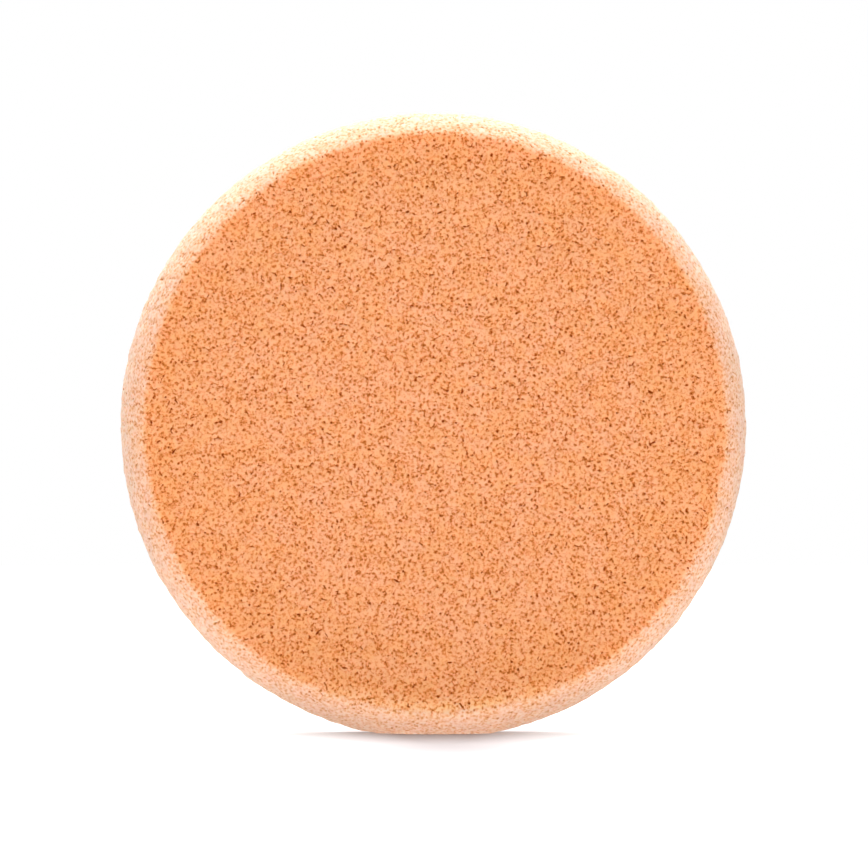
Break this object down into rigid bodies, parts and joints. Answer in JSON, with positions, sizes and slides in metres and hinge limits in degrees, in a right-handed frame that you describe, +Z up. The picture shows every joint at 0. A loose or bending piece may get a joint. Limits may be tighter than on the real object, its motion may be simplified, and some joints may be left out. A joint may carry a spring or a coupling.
{
  "type": "makeup sponge",
  "caption": "Round flat makeup sponge of fine open-celled foam with a crowned, ground rim, standing on its edge.",
  "frame": {"origin": "middle of the flat foot that the sponge stands on, on the floor plane", "axes": "+Z up, the disc's axis along Y, the front face towards -Y, +X to the right seen from the front"},
  "size_m": [0.06, 0.01, 0.0595],
  "materials": {
    "foam": "matte, fine open-celled soft rubber foam"
  },
  "bodies": {
    "root": {"foam_disc": "foam"}
  },
  "joints": []
}
